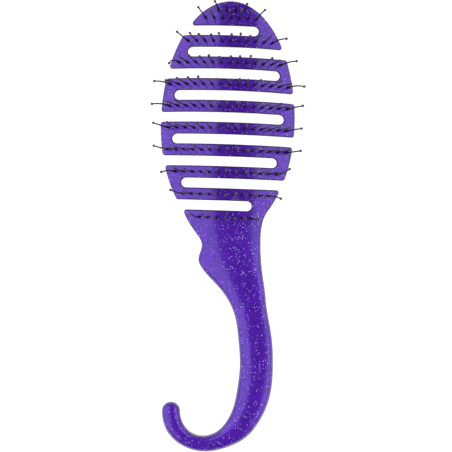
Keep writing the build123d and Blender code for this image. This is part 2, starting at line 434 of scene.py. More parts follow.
def inner_points(outline, edges_reach, spacing):
    """Evenly staggered points inside the outline, clear of its rounded edge."""
    low, high = outline.min(0), outline.max(0)
    rows = np.arange(low[1], high[1], spacing * math.sqrt(3) / 2)
    grid = []
    for i, y in enumerate(rows):
        xs = np.arange(low[0] + (i % 2) * spacing / 2, high[0], spacing)
        grid.append(np.stack([xs, np.full(len(xs), y)], 1))
    grid = np.vstack(grid)
    grid = grid[inside(grid, outline)]
    nearest = Nearest(outline, True)
    depth = np.array([nearest.distance(place)[0] for place in grid])
    return grid[depth > edges_reach(grid[:, 1]) + spacing * 0.45]


def web_cuts():
    """Lines across each web, where it meets its two neighbours, as points about a millimetre apart."""
    cuts = []
    for y, side, closed in SLOTS:
        for edge in (y - WEB_HALF, y + WEB_HALF):
            inner = closed + side * (math.sqrt(SLOT_RADIUS**2 - WEB_HALF**2) + 0.6)
            outer = side * (oval_half(edge) - 0.6)
            between = np.linspace(inner, outer, int(abs(outer - inner)) + 1)
            across = np.concatenate([[closed], between, [outer + side * 2.6]])
            cuts.append(np.stack([across, np.full(len(across), edge)], 1))
    return cuts


def node_of(place):
    """The piece of the frame that a place in plan belongs to."""
    above = 0
    for number, (y, side, closed) in enumerate(SLOTS, start=1):
        if abs(place[1] - y) < WEB_HALF:
            return f"web_{number}"
        if y > place[1]:
            above = number
    return BODIES[above]


class Sheet:
    """The whole frame: points in plan with both heights and smooth normals, and each piece's triangles."""

    rings = 7

    def __init__(self, step, spacing, head_edge, handle_edge):
        outline = frame_outline(step)
        ahead = np.roll(outline, -1, 0) - np.roll(outline, 1, 0)
        ahead /= np.linalg.norm(ahead, axis=1)[:, None]
        inward = np.stack([-ahead[:, 1], ahead[:, 0]], 1)
        reach = edge_round(outline[:, 1], head_edge, handle_edge)
        turns = np.linspace(0, math.pi / 2, self.rings)
        loops = [outline + inward * (reach * (1 - math.cos(turn)))[:, None] for turn in turns]
        grid = inner_points(outline, lambda y: edge_round(y, head_edge, handle_edge), spacing)
        cuts = web_cuts()
        points = np.vstack(loops + [grid] + cuts)
        count = len(outline)
        edges = []
        for ring in range(self.rings):
            edges += [(ring * count + i, ring * count + (i + 1) % count) for i in range(count)]
        first = self.rings * count + len(grid)
        for cut in cuts:
            edges += [(first + i, first + i + 1) for i in range(len(cut) - 1)]
            first += len(cut)
        found = delaunay_2d_cdt([Vector(point) for point in points], edges, [], 1, 1e-5, True)
        self.plan = np.array([tuple(v) for v in found[0]])
        triangles = np.array(found[2])
        centres = self.plan[triangles].mean(1)
        triangles = triangles[inside(centres, outline)]
        self.measure(found[3], outline, inward, turns, head_edge, handle_edge)
        self.pieces = {}
        for triangle in triangles:
            name = node_of(self.plan[triangle].mean(0))
            self.pieces.setdefault(name, []).append(tuple(int(i) for i in triangle))

    def measure(self, sources, outline, inward, turns, head_edge, handle_edge):
        """Set each point's depth in from the outline, and its place and smooth normal on both surfaces."""
        count = len(outline)
        nearest = Nearest(outline, True)
        depth = np.zeros(len(self.plan))
        reach = edge_round(self.plan[:, 1], head_edge, handle_edge)
        on_outline = np.zeros(len(self.plan), bool)
        beside = np.zeros(len(self.plan), int)
        for i, (place, source) in enumerate(zip(self.plan, sources)):
            ring, beside[i] = divmod(source[0], count) if len(source) else (self.rings, 0)
            if ring < self.rings:
                depth[i] = reach[i] * (1 - math.cos(turns[ring]))
            else:
                depth[i], at = nearest.distance(place)
                beside[i] = int(at) % count
            on_outline[i] = ring == 0 or depth[i] < 1e-4
        depth[on_outline] = 0
        top, back = surfaces(self.plan)
        fall = np.minimum(reach, (top - back) * 0.44)
        share = 1 - np.clip(depth / reach, 0, 1)
        lost = fall * (1 - np.sqrt(1 - share**2))
        self.depth = depth
        self.on_outline = on_outline
        self.points = np.vstack([
            np.column_stack([self.plan, top - lost]),
            np.column_stack([self.plan, back + lost]),
        ])
        # The crown's slope is measured a little way along each axis; the rounded edge adds its own.
        step = 0.05
        shifted = [surfaces(self.plan + shift) for shift in ((step, 0), (0, step))]
        edge_rise = fall * share / (reach * np.sqrt(np.maximum(1 - share**2, 1e-9)))
        edge_slope = edge_rise[:, None] * inward[beside]
        normals = []
        for side, (height, sign) in enumerate(((top, 1), (back, -1))):
            crown_slope = np.stack([(moved[side] - height) / step for moved in shifted], 1)
            slope = crown_slope + sign * edge_slope
            normals.append(sign * np.column_stack([-slope, np.ones(len(slope))]))
        normals = np.vstack(normals)
        self.normals = normals / np.linalg.norm(normals, axis=1)[:, None]

    def walls(self, triangles):
        """Side walls of a set of triangles, each with whether it is a cut between two pieces."""
        count = len(self.plan)
        loose = {}
        for triangle in triangles:
            for a, b in zip(triangle, np.roll(triangle, -1)):
                a, b = int(a), int(b)
                if (b, a) in loose:
                    del loose[(b, a)]
                else:
                    loose[(a, b)] = True
        return [
            ((a, a + count, b + count, b), not (self.on_outline[a] and self.on_outline[b]))
            for a, b in loose
        ]


_sheets = []


def whole_sheet(settings):
    """The frame's sheet, made once."""
    if not _sheets:
        _sheets.append(
            Sheet(
                settings.outline_step / MM,
                settings.surface_step / MM,
                settings.head_edge / MM,
                settings.handle_edge / MM,
            )
        )
    return _sheets[0]


def frame_piece(name, node, settings):
    """One closed piece of the moulded frame, with the whole frame's smooth normals."""
    sheet = whole_sheet(settings)
    if node not in sheet.pieces:
        raise RuntimeError(f"the frame has no piece for {node}")
    triangles = sheet.pieces[node]
    count = len(sheet.plan)
    faces = [(triangle, False) for triangle in triangles]
    faces += [(tuple(i + count for i in reversed(triangle)), False) for triangle in triangles]
    faces += sheet.walls(triangles)
    used = sorted({i for face, cut in faces for i in face})
    number = {old: new for new, old in enumerate(used)}
    mesh = bpy.data.meshes.new(name)
    mesh.from_pydata(
        [tuple(sheet.points[i] * MM) for i in used],
        [],
        [[number[i] for i in face] for face, cut in faces],
    )
    mesh.validate()
    mesh.polygons.foreach_set("use_smooth", [True] * len(mesh.polygons))
    depth = mesh.attributes.new("depth", "FLOAT", "POINT")
    depth.data.foreach_set("value", [sheet.depth[i % count] for i in used])
    normals = []
    for polygon, (face, cut) in zip(mesh.polygons, faces):
        for corner in polygon.loop_indices:
            vertex = used[mesh.loops[corner].vertex_index]
            normals.append(tuple(polygon.normal) if cut else tuple(sheet.normals[vertex]))
    mesh.normals_split_custom_set(normals)
    piece = bpy.data.objects.new(name, mesh)
    bpy.context.scene.collection.objects.link(piece)
    mesh.materials.append(violet_glitter())
    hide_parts(node)
    return piece


# ---- pins ----
def pin_place(x, y, bow):
    """A pin's foot on the pin side, and its direction."""
    tilt = math.asin(x / ARCH_RADIUS)
    reach = bow - ARCH_RADIUS + ARCH_RADIUS * math.cos(tilt)
    lean = math.asin((y - CREST_Y) / reach)
    foot = Vector((x, y, CREST_Z - bow + reach * math.cos(lean)))
    upright = Vector((math.sin(tilt), math.cos(tilt) * math.sin(lean), math.cos(tilt) * math.cos(lean)))
    return foot, upright


def row(y, count, bow):
    """Each pin of a straight row: its place, its bow and its length."""
    middle = (count - 1) / 2
    lengths = (LONG_PIN, SHORT_PIN)
    return [(PIN_PITCH * (i - middle), y, bow, lengths[i % 2]) for i in range(count)]


def body_rows(body):
    """The pins that stand on one body."""
    if body == "cap":
        low = SLOTS[0][0] + SLOT_RADIUS
        return row(low + CAP_ROW, CAP_ROW_PINS, HEAD_BOW) + row(low + CAP_CROWN_ROW, CAP_CROWN_PINS, HEAD_BOW)
    if body == "handle":
        return row(NECK_Y - NECK_ROW, NECK_ROW_PINS, HANDLE_BOW)
    number = int(body.split("_")[1])
    y = (SLOTS[number - 1][0] + SLOTS[number][0]) / 2
    side_pins = int((oval_half(y) - PIN_MARGIN) / PIN_PITCH)
    return row(y, 2 * side_pins + 1, HEAD_BOW)


def pin_feet(body, settings):
    """A body's pins as loose points that carry each pin's direction, length and bend."""
    rng = np.random.default_rng(settings.bend_seed + BODIES.index(body))
    pins = body_rows(body)
    feet, axes, lengths, bends = [], [], [], []
    widest = max(abs(pin[0]) for pin in pins)
    for x, y, bow, length in pins:
        foot, upright = pin_place(x, y, bow)
        strength = settings.bend / MM * (1 + 2.5 * (abs(x) / widest) ** 8)
        sway = Vector(rng.normal(0, strength, 3)) + Vector((settings.splay / MM * (x / widest) ** 5, 0, 0))
        sway -= upright * sway.dot(upright)
        feet.append(foot * MM)
        axes.append(upright)
        lengths.append(length * MM)
        bends.append(sway * MM)
    mesh = bpy.data.meshes.new("feet")
    mesh.from_pydata(feet, [], [])
    for name, kind, values in (
        ("axis", "FLOAT_VECTOR", axes),
        ("sway", "FLOAT_VECTOR", bends),
        ("tall", "FLOAT", lengths),
    ):
        attribute = mesh.attributes.new(name, kind, "POINT")
        field = "vector" if kind == "FLOAT_VECTOR" else "value"
        flat = [c for value in values for c in value] if field == "vector" else values
        attribute.data.foreach_set(field, flat)
    feet_object = bpy.data.objects.new("feet", mesh)
    bpy.context.scene.collection.objects.link(feet_object)
    return feet_object


def new_tree(name, inputs):
    """An empty geometry tree with named inputs."""
    tree = bpy.data.node_groups.new(name, "GeometryNodeTree")
    tree.interface.new_socket("Geometry", in_out="INPUT", socket_type="NodeSocketGeometry")
    for label, kind in inputs:
        tree.interface.new_socket(label, in_out="INPUT", socket_type=kind)
    tree.interface.new_socket("Geometry", in_out="OUTPUT", socket_type="NodeSocketGeometry")
    return tree, tree.nodes.new("NodeGroupInput"), tree.nodes.new("NodeGroupOutput")


def named(tree, name, kind):
    """A node that reads an attribute."""
    node = tree.nodes.new("GeometryNodeInputNamedAttribute")
    node.data_type = kind
    node.inputs["Name"].default_value = name
    return node.outputs["Attribute"]


def vector_math(tree, operation, first, second=None, scale=None):
    """A vector sum, product or scaling."""
    node = tree.nodes.new("ShaderNodeVectorMath")
    node.operation = operation
    tree.links.new(first, node.inputs[0])
    if second is not None:
        tree.links.new(second, node.inputs[1])
    if scale is not None:
        tree.links.new(scale, node.inputs["Scale"])
    return node.outputs["Vector"]


def float_math(tree, operation, first, second):
    """A sum or product of two numbers, each a socket or a value."""
    node = tree.nodes.new("ShaderNodeMath")
    node.operation = operation
    for socket, value in zip(node.inputs, (first, second)):
        if isinstance(value, (int, float)):
            socket.default_value = value
        else:
            tree.links.new(value, socket)
    return node.outputs[0]


def stand_on_points(tree, points, template, scale):
    """The template on each point, turned to the pin's direction, made real."""
    links = tree.links
    turn = tree.nodes.new("FunctionNodeAlignRotationToVector")
    turn.axis = "Z"
    links.new(named(tree, "axis", "FLOAT_VECTOR"), turn.inputs["Vector"])
    place = tree.nodes.new("GeometryNodeInstanceOnPoints")
    links.new(points, place.inputs["Points"])
    links.new(template, place.inputs["Instance"])
    links.new(turn.outputs["Rotation"], place.inputs["Rotation"])
    if scale is not None:
        links.new(scale, place.inputs["Scale"])
    real = tree.nodes.new("GeometryNodeRealizeInstances")
    links.new(place.outputs["Instances"], real.inputs["Geometry"])
    return real.outputs["Geometry"]


def finish_tree(tree, geometry, material_socket, group_output):
    """Smooth shading and the material, last in the tree."""
    shade = tree.nodes.new("GeometryNodeSetShadeSmooth")
    paint = tree.nodes.new("GeometryNodeSetMaterial")
    tree.links.new(geometry, shade.inputs["Geometry"])
    tree.links.new(shade.outputs["Geometry"], paint.inputs["Geometry"])
    tree.links.new(material_socket, paint.inputs["Material"])
    tree.links.new(paint.outputs["Geometry"], group_output.inputs["Geometry"])


def pin_tree():
    """Tapered nylon pins with a low collar at the foot, each bent by its own sway."""
    tree, group_in, group_out = new_tree(
        "pin_rows",
        (
            ("Root Radius", "NodeSocketFloat"),
            ("Tip Radius", "NodeSocketFloat"),
            ("Collar Radius", "NodeSocketFloat"),
            ("Root Depth", "NodeSocketFloat"),
            ("Bead Radius", "NodeSocketFloat"),
            ("Material", "NodeSocketMaterial"),
        ),
    )
    nodes, links = tree.nodes, tree.links
    line = nodes.new("GeometryNodeCurvePrimitiveLine")
    line.inputs["End"].default_value = (0, 0, 1)
    fine = nodes.new("GeometryNodeResampleCurve")
    fine.inputs["Count"].default_value = 9
    links.new(line.outputs["Curve"], fine.inputs["Curve"])
    factor = nodes.new("GeometryNodeSplineParameter").outputs["Factor"]
    # The curve's points bunch towards the foot, where the collar is.
    bunched = float_math(tree, "POWER", factor, 1.7)
    column = nodes.new("ShaderNodeCombineXYZ")
    links.new(bunched, column.inputs["Z"])
    move = nodes.new("GeometryNodeSetPosition")
    links.new(fine.outputs["Curve"], move.inputs["Geometry"])
    links.new(column.outputs["Vector"], move.inputs["Position"])
    taper = nodes.new("ShaderNodeMapRange")
    links.new(bunched, taper.inputs["Value"])
    links.new(group_in.outputs["Root Radius"], taper.inputs["To Min"])
    links.new(group_in.outputs["Tip Radius"], taper.inputs["To Max"])
    collar = nodes.new("ShaderNodeMapRange")
    collar.interpolation_type = "SMOOTHSTEP"
    collar.inputs["From Min"].default_value = 0.08
    collar.inputs["From Max"].default_value = 0.17
    links.new(bunched, collar.inputs["Value"])
    links.new(group_in.outputs["Collar Radius"], collar.inputs["To Min"])
    collar.inputs["To Max"].default_value = 0.0
    radius = float_math(tree, "MAXIMUM", taper.outputs["Result"], collar.outputs["Result"])
    keep = nodes.new("GeometryNodeStoreNamedAttribute")
    keep.data_type = "FLOAT"
    keep.domain = "POINT"
    keep.inputs["Name"].default_value = "along"
    links.new(move.outputs["Geometry"], keep.inputs["Geometry"])
    links.new(bunched, keep.inputs["Value"])
    ring = nodes.new("GeometryNodeCurvePrimitiveCircle")
    ring.inputs["Resolution"].default_value = 7
    ring.inputs["Radius"].default_value = 1.0
    tube = nodes.new("GeometryNodeCurveToMesh")
    tube.inputs["Fill Caps"].default_value = True
    links.new(keep.outputs["Geometry"], tube.inputs["Curve"])
    links.new(ring.outputs["Curve"], tube.inputs["Profile Curve"])
    links.new(radius, tube.inputs["Scale"])
    # A pin reaches from its root inside the shell to the middle of its bead.
    tall = named(tree, "tall", "FLOAT")
    visible = float_math(tree, "SUBTRACT", tall, group_in.outputs["Bead Radius"])
    whole = float_math(tree, "ADD", visible, group_in.outputs["Root Depth"])
    stretch = nodes.new("ShaderNodeCombineXYZ")
    stretch.inputs["X"].default_value = 1
    stretch.inputs["Y"].default_value = 1
    links.new(whole, stretch.inputs["Z"])
    sunk = nodes.new("GeometryNodeSetPosition")
    down = nodes.new("ShaderNodeMath")
    down.operation = "MULTIPLY"
    down.inputs[1].default_value = -1
    links.new(group_in.outputs["Root Depth"], down.inputs[0])
    links.new(group_in.outputs["Geometry"], sunk.inputs["Geometry"])
    links.new(
        vector_math(tree, "SCALE", named(tree, "axis", "FLOAT_VECTOR"), scale=down.outputs[0]),
        sunk.inputs["Offset"],
    )
    real = stand_on_points(tree, sunk.outputs["Geometry"], tube.outputs["Mesh"], stretch.outputs["Vector"])
    along = named(tree, "along", "FLOAT")
    bend = nodes.new("GeometryNodeSetPosition")
    links.new(real, bend.inputs["Geometry"])
    sway = named(tree, "sway", "FLOAT_VECTOR")
    share = float_math(tree, "MULTIPLY", along, along)
    links.new(vector_math(tree, "SCALE", sway, scale=share), bend.inputs["Offset"])
    finish_tree(tree, bend.outputs["Geometry"], group_in.outputs["Material"], group_out)
    return tree


def bead_tree():
    """A dipped resin bead on the end of each pin."""
    tree, group_in, group_out = new_tree(
        "bead_rows",
        (("Bead Radius", "NodeSocketFloat"), ("Material", "NodeSocketMaterial")),
    )
    nodes, links = tree.nodes, tree.links
    ball = nodes.new("GeometryNodeMeshUVSphere")
    ball.inputs["Segments"].default_value = 8
    ball.inputs["Rings"].default_value = 6
    links.new(group_in.outputs["Bead Radius"], ball.inputs["Radius"])
    high = float_math(tree, "SUBTRACT", named(tree, "tall", "FLOAT"), group_in.outputs["Bead Radius"])
    lift = vector_math(tree, "SCALE", named(tree, "axis", "FLOAT_VECTOR"), scale=high)
    raised = nodes.new("GeometryNodeSetPosition")
    links.new(group_in.outputs["Geometry"], raised.inputs["Geometry"])
    links.new(
        vector_math(tree, "ADD", lift, named(tree, "sway", "FLOAT_VECTOR")), raised.inputs["Offset"]
    )
    real = stand_on_points(tree, raised.outputs["Geometry"], ball.outputs["Mesh"], None)
    finish_tree(tree, real, group_in.outputs["Material"], group_out)
    return tree


def grown(name, feet, tree, values):
    """The plain mesh that a geometry tree makes from a body's pin feet."""
    modifier = feet.modifiers.new(name, "NODES")
    modifier.node_group = tree
    for item in tree.interface.items_tree:
        if item.in_out == "INPUT" and item.name in values:
            modifier[item.identifier] = values[item.name]
    feet.update_tag()
    depsgraph = bpy.context.evaluated_depsgraph_get()
    mesh = bpy.data.meshes.new_from_object(feet.evaluated_get(depsgraph))
    mesh.name = name
    feet.modifiers.remove(modifier)
    for label in ("axis", "sway", "tall", "along"):
        if label in mesh.attributes:
            mesh.attributes.remove(mesh.attributes[label])
    piece = bpy.data.objects.new(name, mesh)
    bpy.context.scene.collection.objects.link(piece)
    if len(mesh.polygons) == 0:
        raise RuntimeError(f"{name} came out empty")
    return piece


def place_name(body):
    """The part of a CAD node's name that says which body its pins stand on."""
    return {"cap": "cap", "handle": "neck"}.get(body, body.split("_")[-1])


# ---- materials ----
def new_material(name):
    """A material with only a shader and an output."""
    material = bpy.data.materials.new(name)
    material.use_nodes = True
    tree = material.node_tree
    tree.nodes.clear()
    shader = tree.nodes.new("ShaderNodeBsdfPrincipled")
    output = tree.nodes.new("ShaderNodeOutputMaterial")
    tree.links.new(shader.outputs["BSDF"], output.inputs["Surface"])
    return material, tree, shader


def object_place(tree):
    """The place on the piece, in metres."""
    return tree.nodes.new("ShaderNodeTexCoord").outputs["Object"]


def cells(tree, size):
    """Random cells of a size in metres: the distance to each cell's middle, and its random colour."""
    node = tree.nodes.new("ShaderNodeTexVoronoi")
    node.feature = "F1"
    node.inputs["Scale"].default_value = 1 / size
    tree.links.new(object_place(tree), node.inputs["Vector"])
    split = tree.nodes.new("ShaderNodeSeparateColor")
    tree.links.new(node.outputs["Color"], split.inputs["Color"])
    return node.outputs["Distance"], node.outputs["Color"], split.outputs


def ramp(tree, value, low, high, first=0.0, last=1.0):
    """A value mapped smoothly between two ends."""
    node = tree.nodes.new("ShaderNodeMapRange")
    node.interpolation_type = "SMOOTHSTEP"
    node.inputs["From Min"].default_value = low
    node.inputs["From Max"].default_value = high
    node.inputs["To Min"].default_value = first
    node.inputs["To Max"].default_value = last
    tree.links.new(value, node.inputs["Value"])
    return node.outputs["Result"]


def colour_sockets(node):
    """The colour sockets of a Mix node, which share their names with its other kinds."""
    return [s for s in node.inputs if s.type == "RGBA"]


def flake_layer(tree, size, rarity, radius):
    """Flakes in some of the random cells: how much flake shows, each one's colour and its brightness."""
    distance, colour, parts = cells(tree, size)
    chosen = ramp(tree, parts["Red"], rarity, rarity + 0.02)
    disc = ramp(tree, distance, radius * 0.6, radius, 1.0, 0.0)
    return float_math(tree, "MULTIPLY", chosen, disc), colour, parts["Green"]


def violet_glitter():
    """Clear-coated violet plastic with silver and lilac flakes, and painted shade that darkens it near its
    rounded edges.
    """
    name = "violet_glitter_plastic"
    if name in bpy.data.materials:
        return bpy.data.materials[name]
    colours = bpy.context.scene.brush_colours
    material, tree, shader = new_material(name)
    links = tree.links
    coarse, tint, glow = flake_layer(tree, colours.flake_size, rarity=0.73, radius=0.42)
    fine, _, fine_glow = flake_layer(tree, colours.flake_size * 0.5, rarity=0.55, radius=0.5)
    cloud = tree.nodes.new("ShaderNodeTexNoise")
    cloud.inputs["Scale"].default_value = 220
    cloud.inputs["Detail"].default_value = 2
    links.new(object_place(tree), cloud.inputs["Vector"])
    body = mix_shade(tree, ramp(tree, cloud.outputs["Fac"], 0.3, 0.7), colours.violet, colours.deep_violet)
    # Painted shade: within about a millimetre of the outline the base colour goes to a dark violet, standing
    # in for the dark outline the rounded edges show under light.
    rim = tree.nodes.new("ShaderNodeAttribute")
    rim.attribute_name = "depth"
    painted_edge_shade_share = ramp(tree, rim.outputs["Fac"], 0.3, 1.1, 0.94, 0.0)
    body = mix_shade(tree, painted_edge_shade_share, body, colours.painted_edge_shade)
    dust = float_math(tree, "MULTIPLY", fine, ramp(tree, fine_glow, 0.0, 1.0, 0.0, 0.16))
    body = mix_shade(tree, dust, body, colours.dust)
    sparkle = float_math(tree, "MULTIPLY", coarse, ramp(tree, glow, 0.2, 1.0, 0.08, 1.0))
    body = mix_shade(tree, sparkle, body, colours.flake)
    links.new(body, shader.inputs["Base Color"])
    links.new(float_math(tree, "MAXIMUM", sparkle, 0.28), shader.inputs["Metallic"])
    # Each flake lies at its own angle under the clear coat.
    normal = tree.nodes.new("ShaderNodeNewGeometry").outputs["Normal"]
    centred = tree.nodes.new("ShaderNodeVectorMath")
    centred.operation = "SUBTRACT"
    centred.inputs[1].default_value = (0.5, 0.5, 0.5)
    links.new(tint, centred.inputs[0])
    most_tilt = 1.1
    slant = float_math(tree, "MULTIPLY", coarse, most_tilt)
    tilt = vector_math(tree, "SCALE", centred.outputs["Vector"], scale=slant)
    tilted = vector_math(tree, "NORMALIZE", vector_math(tree, "ADD", normal, tilt))
    links.new(tilted, shader.inputs["Normal"])
    shader.inputs["Roughness"].default_value = 0.34
    shader.inputs["Specular IOR Level"].default_value = 0.25
    shader.inputs["Coat Weight"].default_value = 0.7
    shader.inputs["Coat Roughness"].default_value = 0.12
    shader.inputs["Coat IOR"].default_value = 1.5
    return material


def mix_shade(tree, factor, first, second):
    """Two colours mixed by a factor socket, each colour a socket or a property's value."""
    node = tree.nodes.new("ShaderNodeMix")
    node.data_type = "RGBA"
    tree.links.new(factor, node.inputs[0])
    for socket, value in zip(colour_sockets(node), (first, second)):
        if isinstance(value, bpy.types.NodeSocket):
            tree.links.new(value, socket)
        else:
            socket.default_value = (*value, 1)
    return [s for s in node.outputs if s.type == "RGBA"][0]


def speckled_plastic(name, colour, light, size, roughness, coat):
    """Moulded plastic with a faint mottle in its colour and its surface."""
    if name in bpy.data.materials:
        return bpy.data.materials[name]
    material, tree, shader = new_material(name)
    mottle = tree.nodes.new("ShaderNodeTexNoise")
    mottle.inputs["Scale"].default_value = 1 / size
    mottle.inputs["Detail"].default_value = 3
    tree.links.new(object_place(tree), mottle.inputs["Vector"])
    shade = mix_shade(tree, ramp(tree, mottle.outputs["Fac"], 0.35, 0.7), colour, light)
    tree.links.new(shade, shader.inputs["Base Color"])
    tree.links.new(
        ramp(tree, mottle.outputs["Fac"], 0.3, 0.7, roughness, roughness + 0.12), shader.inputs["Roughness"]
    )
    bump = tree.nodes.new("ShaderNodeBump")
    bump.inputs["Strength"].default_value = 0.15
    bump.inputs["Distance"].default_value = 0.00004
    tree.links.new(mottle.outputs["Fac"], bump.inputs["Height"])
    tree.links.new(bump.outputs["Normal"], shader.inputs["Normal"])
    shader.inputs["Specular IOR Level"].default_value = 0.3
    shader.inputs["Coat Weight"].default_value = coat
    shader.inputs["Coat Roughness"].default_value = 0.08
    return material


def black_nylon():
    """Satin drawn nylon."""
    colours = bpy.context.scene.brush_colours
    return speckled_plastic("drawn_nylon", colours.nylon, colours.nylon_light, 0.0006, 0.38, 0.0)


def bead_resin():
    """Smooth dipped resin."""
    colours = bpy.context.scene.brush_colours
    return speckled_plastic("dipped_resin", colours.bead, colours.bead_light, 0.0009, 0.22, 0.5)


# ---- settings ----
class BrushColours(bpy.types.PropertyGroup):
    """Colours of the brush's three plastics."""

    violet: FloatVectorProperty(
        name="Violet", description="Body of the moulded plastic", subtype="COLOR",
        min=0, max=1, default=(0.102, 0.0040, 0.540),
    )
    deep_violet: FloatVectorProperty(
        name="Deep Violet", description="Darker clouds in the plastic", subtype="COLOR",
        min=0, max=1, default=(0.070, 0.0025, 0.410),
    )
    # Painted shade: the dark violet painted along the rounded edges for their dark outline.
    painted_edge_shade: FloatVectorProperty(
        name="Edge Violet", description="The plastic at its rounded edges", subtype="COLOR",
        min=0, max=1, default=(0.020, 0.0022, 0.100),
    )
    flake: FloatVectorProperty(
        name="Flake", description="Silver lilac flakes", subtype="COLOR",
        min=0, max=1, default=(0.78, 0.62, 1.00),
    )
    dust: FloatVectorProperty(
        name="Dust", description="Finer lilac flakes between the larger ones", subtype="COLOR",
        min=0, max=1, default=(0.58, 0.36, 0.95),
    )
    flake_size: FloatProperty(
        name="Flake Size", description="Distance from one flake to the next", subtype="DISTANCE",
        unit="LENGTH", min=0.0001, default=0.00064,
    )
    nylon: FloatVectorProperty(
        name="Nylon", description="Pins", subtype="COLOR", min=0, max=1, default=(0.007, 0.005, 0.011)
    )
    nylon_light: FloatVectorProperty(
        name="Nylon Mottle", description="Lighter mottle on the pins", subtype="COLOR",
        min=0, max=1, default=(0.016, 0.012, 0.024),
    )
    bead: FloatVectorProperty(
        name="Bead", description="Beads", subtype="COLOR", min=0, max=1, default=(0.034, 0.019, 0.046)
    )
    bead_light: FloatVectorProperty(
        name="Bead Mottle", description="Lighter mottle on the beads", subtype="COLOR",
        min=0, max=1, default=(0.070, 0.042, 0.092),
    )


class BrushFrame(bpy.types.PropertyGroup):
    """Sizes of the moulded frame's finish."""

    head_edge: FloatProperty(
        name="Head Edge", description="Rounding of the head's and bars' edges", subtype="DISTANCE",
        unit="LENGTH", min=0.0002, max=0.0014, default=0.0009,
    )
    handle_edge: FloatProperty(
        name="Handle Edge", description="Rounding of the handle's long edges", subtype="DISTANCE",
        unit="LENGTH", min=0.0005, max=0.0035, default=0.0030,
    )
    outline_step: FloatProperty(
        name="Outline Step", description="Distance between points along the outline",
        subtype="DISTANCE", unit="LENGTH", min=0.0003, default=0.0006,
    )
    surface_step: FloatProperty(
        name="Surface Step", description="Distance between points on the broad surfaces",
        subtype="DISTANCE", unit="LENGTH", min=0.0005, default=0.0014,
    )


class BrushPins(bpy.types.PropertyGroup):
    """Sizes of the pins and beads."""

    root_radius: FloatProperty(
        name="Root Radius", description="Pin at its foot", subtype="DISTANCE", unit="LENGTH", default=0.00046
    )
    tip_radius: FloatProperty(
        name="Tip Radius", description="Pin at its bead", subtype="DISTANCE", unit="LENGTH", default=0.00036
    )
    collar_radius: FloatProperty(
        name="Collar Radius", description="Low collar where the pin leaves the frame",
        subtype="DISTANCE", unit="LENGTH", default=0.00078,
    )
    bead_radius: FloatProperty(
        name="Bead Radius", description="Bead on the pin's end", subtype="DISTANCE", unit="LENGTH",
        default=0.0008,
    )
    bend: FloatProperty(
        name="Bend", description="How far wear has bent a pin's end, on average", subtype="DISTANCE",
        unit="LENGTH", default=0.00035,
    )
    splay: FloatProperty(
        name="Splay", description="How far the outermost pins have been pushed outwards",
        subtype="DISTANCE", unit="LENGTH", default=0.0016,
    )
    bend_seed: IntProperty(name="Bend Seed", description="Seed of the pins' bends", default=11)


class BrushStage(bpy.types.PropertyGroup):
    """The studio around the brush."""

    camera_height: FloatProperty(
        name="Camera Height", description="Camera above the floor", subtype="DISTANCE", unit="LENGTH",
        default=0.728,
    )
    field: FloatProperty(
        name="Field", description="Width of the view at the head's height", subtype="DISTANCE",
        unit="LENGTH", default=0.250,
    )
    camera_turn: FloatProperty(
        name="Camera Turn", description="Turn of the camera about the vertical", subtype="ANGLE",
        unit="ROTATION", default=math.radians(1.8),
    )
    camera_x: FloatProperty(
        name="Camera Across", description="Camera across from the head's centre line",
        subtype="DISTANCE", unit="LENGTH", default=0.00084,
    )
    camera_y: FloatProperty(
        name="Camera Along", description="Camera along from the middle of the brush",
        subtype="DISTANCE", unit="LENGTH", default=0.0004,
    )
    radiance: FloatProperty(
        name="Softbox Brightness", description="Brightness of each softbox's face", min=0, default=1.5
    )
    floor_drop: FloatProperty(
        name="Floor Drop", description="Floor below the brush, clear of the head when it bends back",
        subtype="DISTANCE", unit="LENGTH", default=0.03,
    )
    floor: FloatVectorProperty(
        name="Floor", description="Pale floor", subtype="COLOR", min=0, max=1, default=(0.35, 0.35, 0.36)
    )
    floor_glow: FloatProperty(
        name="Floor Glow", description="Light through the floor, as on a light table", min=0, default=0.9
    )


# ---- operators ----
class BRUSH_OT_handle(bpy.types.Operator):
    """Build the neck, thumb rest, grip and hook as one moulded piece"""

    bl_idname = "brush.handle"
    bl_label = "Build Handle"

    def execute(self, context):
        piece = frame_piece("handle_moulding", "handle", context.scene.brush_frame)
        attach(piece, "handle")
        return {"FINISHED"}


class BRUSH_OT_bars(bpy.types.Operator):
    """Build the eight cross bars of the head"""

    bl_idname = "brush.bars"
    bl_label = "Build Bars"

    def execute(self, context):
        for number in range(1, BAR_COUNT + 1):
            piece = frame_piece(f"bar_moulding_{number}", f"bar_{number}", context.scene.brush_frame)
            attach(piece, f"bar_{number}")
        return {"FINISHED"}


class BRUSH_OT_cap(bpy.types.Operator):
    """Build the rounded tip of the head"""

    bl_idname = "brush.cap"
    bl_label = "Build Cap"

    def execute(self, context):
        piece = frame_piece("cap_moulding", "cap", context.scene.brush_frame)
        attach(piece, "cap")
        return {"FINISHED"}


class BRUSH_OT_webs(bpy.types.Operator):
    """Build the living hinges at the closed ends of the slots"""

    bl_idname = "brush.webs"
    bl_label = "Build Webs"

    def execute(self, context):
        for number, (y, side, closed) in enumerate(SLOTS, start=1):
            piece = frame_piece(f"web_moulding_{number}", f"web_{number}", context.scene.brush_frame)
            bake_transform(piece)
        return {"FINISHED"}


class BRUSH_OT_pins(bpy.types.Operator):
    """Build the rows of nylon pins"""

    bl_idname = "brush.pins"
    bl_label = "Build Pins"

    def execute(self, context):
        settings = context.scene.brush_pins
        tree = pin_tree()
        values = {
            "Root Radius": settings.root_radius,
            "Tip Radius": settings.tip_radius,
            "Collar Radius": settings.collar_radius,
            "Root Depth": PIN_DEPTH * MM,
            "Bead Radius": settings.bead_radius,
            "Material": black_nylon(),
        }
        for body in BODIES:
            feet = pin_feet(body, settings)
            place = place_name(body)
            piece = grown(f"pin_row_{place}", feet, tree, values)
            bpy.data.objects.remove(feet)
            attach(piece, body)
            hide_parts(f"long_pins_{place}", f"short_pins_{place}")
        return {"FINISHED"}


